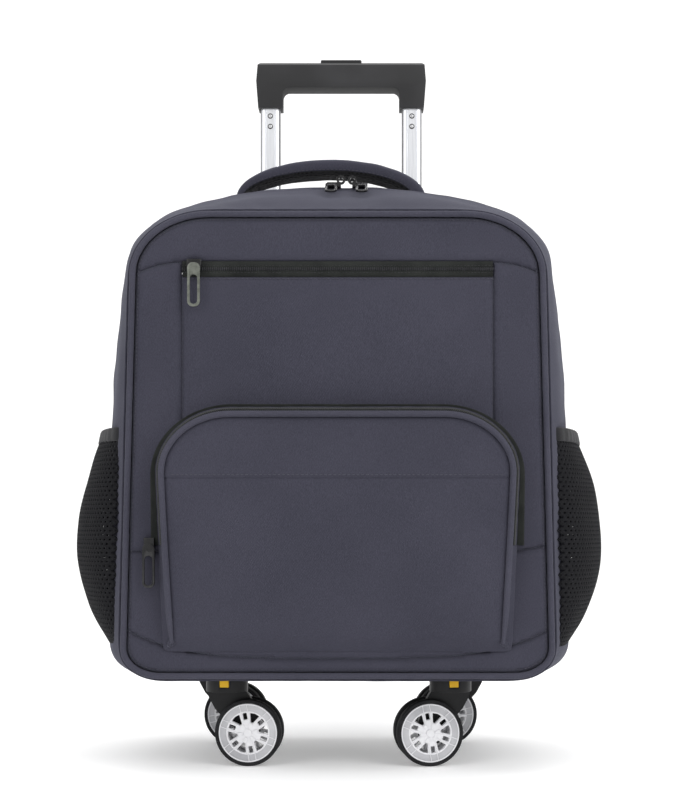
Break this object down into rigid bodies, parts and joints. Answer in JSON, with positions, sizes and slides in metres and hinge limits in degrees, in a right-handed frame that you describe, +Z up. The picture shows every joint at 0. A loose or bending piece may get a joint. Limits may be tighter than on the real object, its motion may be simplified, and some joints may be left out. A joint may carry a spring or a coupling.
{
  "type": "wheeled backpack",
  "caption": "Soft cloth backpack on swivelling twin-wheel casters, with a telescopic pull handle, carry handle, zipped front pockets, net side pockets and shoulder straps.",
  "frame": {"origin": "on the floor under the middle of the bounding box", "axes": "+Z up, the front with its pockets faces -Y, +X is to the right of someone who looks at the front"},
  "size_m": [0.426, 0.2746, 0.5985],
  "materials": {
    "cloth": "heathered navy-slate twill, matt",
    "piping": "the same cloth over a cord",
    "zip_tape": "black woven tape with coil teeth",
    "net": "black knitted net",
    "binding": "dark grey elastic tape",
    "spacer_mesh": "black spacer mesh",
    "webbing": "black woven webbing",
    "grip_plastic": "dark grey, fine grain",
    "handle_tube": "satin anodized",
    "black_plastic": "satin black moulding",
    "rim_plastic": "silver-grey moulding",
    "tyre_rubber": "dark grey soft tyre",
    "yellow_plastic": "yellow moulding",
    "gunmetal": "gunmetal plated",
    "black_metal": "black, satin"
  },
  "bodies": {
    "bag": {"gusset": "cloth", "main_zip": "zip_tape", "front_yoke": "cloth", "bottom_band": "cloth", "front_side_panel_left": "cloth", "front_side_panel_right": "cloth", "zip_pocket_panel": "cloth", "front_zip": "zip_tape", "front_piping": "piping", "lower_pocket": "cloth", "pocket_zip": "zip_tape", "pocket_piping": "piping", "net_pocket_left": "net", "net_pocket_right": "net", "net_pocket_binding_left": "binding", "net_pocket_binding_right": "binding", "back_panel": "spacer_mesh", "shoulder_strap_left": "spacer_mesh", "shoulder_strap_right": "spacer_mesh", "strap_webbing_left": "webbing", "strap_webbing_right": "webbing", "carry_handle": "cloth", "handle_outer_tube_left": "handle_tube", "handle_outer_tube_right": "handle_tube", "handle_collar": "black_plastic", "main_zip_slider_left": "black_metal", "main_zip_slider_right": "black_metal", "front_zip_slider": "black_metal", "pocket_zip_slider": "black_metal", "base_plate": "black_plastic"},
    "handle_lower": {"handle_middle_tube_left": "handle_tube", "handle_middle_tube_right": "handle_tube"},
    "handle_upper": {"handle_inner_tube_left": "handle_tube", "handle_inner_tube_right": "handle_tube", "handle_grip": "grip_plastic"},
    "button": {"handle_button": "grip_plastic"},
    "swivel_front_left": {"caster_fork_front_left": "black_plastic", "caster_insert_front_left": "yellow_plastic"},
    "swivel_front_right": {"caster_fork_front_right": "black_plastic", "caster_insert_front_right": "yellow_plastic"},
    "swivel_rear_left": {"caster_fork_rear_left": "black_plastic", "caster_insert_rear_left": "yellow_plastic"},
    "swivel_rear_right": {"caster_fork_rear_right": "black_plastic", "caster_insert_rear_right": "yellow_plastic"},
    "wheels_front_left": {"caster_wheel_front_left": "rim_plastic", "caster_tyre_front_left_front": "tyre_rubber", "caster_tyre_front_left_back": "tyre_rubber"},
    "wheels_front_right": {"caster_wheel_front_right": "rim_plastic", "caster_tyre_front_right_front": "tyre_rubber", "caster_tyre_front_right_back": "tyre_rubber"},
    "wheels_rear_left": {"caster_wheel_rear_left": "rim_plastic", "caster_tyre_rear_left_front": "tyre_rubber", "caster_tyre_rear_left_back": "tyre_rubber"},
    "wheels_rear_right": {"caster_wheel_rear_right": "rim_plastic", "caster_tyre_rear_right_front": "tyre_rubber", "caster_tyre_rear_right_back": "tyre_rubber"},
    "tab_main_left": {"main_zip_tab_left": "black_metal"},
    "tab_main_right": {"main_zip_tab_right": "black_metal"},
    "tab_front": {"front_zip_tab": "gunmetal"},
    "tab_pocket": {"pocket_zip_tab": "black_metal"}
  },
  "joints": [
    {"name": "handle_lower_slide", "type": "slide", "parent": "bag", "child": "handle_lower", "axis": [0, 0, 1], "range_m": [0, 0.21]},
    {"name": "handle_upper_slide", "type": "slide", "parent": "handle_lower", "child": "handle_upper", "axis": [0, 0, 1], "range_m": [-0.088, 0.19]},
    {"name": "button_press", "type": "slide", "parent": "handle_upper", "child": "button", "axis": [0, 0, -1], "range_m": [0, 0.003], "stiffness_N_per_m": 400, "springref_m": -0.002},
    {"name": "swivel_front_left_turn", "type": "hinge", "parent": "bag", "child": "swivel_front_left", "pos_m": [-0.088, -0.0601, 0.0645], "axis": [0, 0, 1], "continuous": true},
    {"name": "swivel_front_right_turn", "type": "hinge", "parent": "bag", "child": "swivel_front_right", "pos_m": [0.088, -0.0601, 0.0645], "axis": [0, 0, 1], "continuous": true},
    {"name": "swivel_rear_left_turn", "type": "hinge", "parent": "bag", "child": "swivel_rear_left", "pos_m": [-0.108, 0.0499, 0.0645], "axis": [0, 0, 1], "continuous": true},
    {"name": "swivel_rear_right_turn", "type": "hinge", "parent": "bag", "child": "swivel_rear_right", "pos_m": [0.108, 0.0499, 0.0645], "axis": [0, 0, 1], "continuous": true},
    {"name": "wheels_front_left_spin", "type": "hinge", "parent": "swivel_front_left", "child": "wheels_front_left", "pos_m": [-0.07003, -0.06104, 0.026], "axis": [0.0523, 0.9986, 0], "continuous": true},
    {"name": "wheels_front_right_spin", "type": "hinge", "parent": "swivel_front_right", "child": "wheels_front_right", "pos_m": [0.07013, -0.06229, 0.026], "axis": [0.1219, -0.9925, 0], "continuous": true},
    {"name": "wheels_rear_left_spin", "type": "hinge", "parent": "swivel_rear_left", "child": "wheels_rear_left", "pos_m": [-0.0901, 0.04802, 0.026], "axis": [0.1045, 0.9945, 0], "continuous": true},
    {"name": "wheels_rear_right_spin", "type": "hinge", "parent": "swivel_rear_right", "child": "wheels_rear_right", "pos_m": [0.0901, 0.04802, 0.026], "axis": [0.1045, -0.9945, 0], "continuous": true},
    {"name": "tab_main_left_swing", "type": "hinge", "parent": "bag", "child": "tab_main_left", "pos_m": [-0.006, -0.04873, 0.45998], "axis": [-1, 0, 0], "range_deg": [0, 110]},
    {"name": "tab_main_right_swing", "type": "hinge", "parent": "bag", "child": "tab_main_right", "pos_m": [0.018, -0.04873, 0.45998], "axis": [-1, 0, 0], "range_deg": [0, 110]},
    {"name": "tab_front_swing", "type": "hinge", "parent": "bag", "child": "tab_front", "pos_m": [-0.1074, -0.11965, 0.383], "axis": [-1, 0, 0], "range_deg": [0, 110]},
    {"name": "tab_pocket_swing", "type": "hinge", "parent": "bag", "child": "tab_pocket", "pos_m": [-0.141, -0.11965, 0.173], "axis": [-1, 0, 0], "range_deg": [0, 110]}
  ]
}
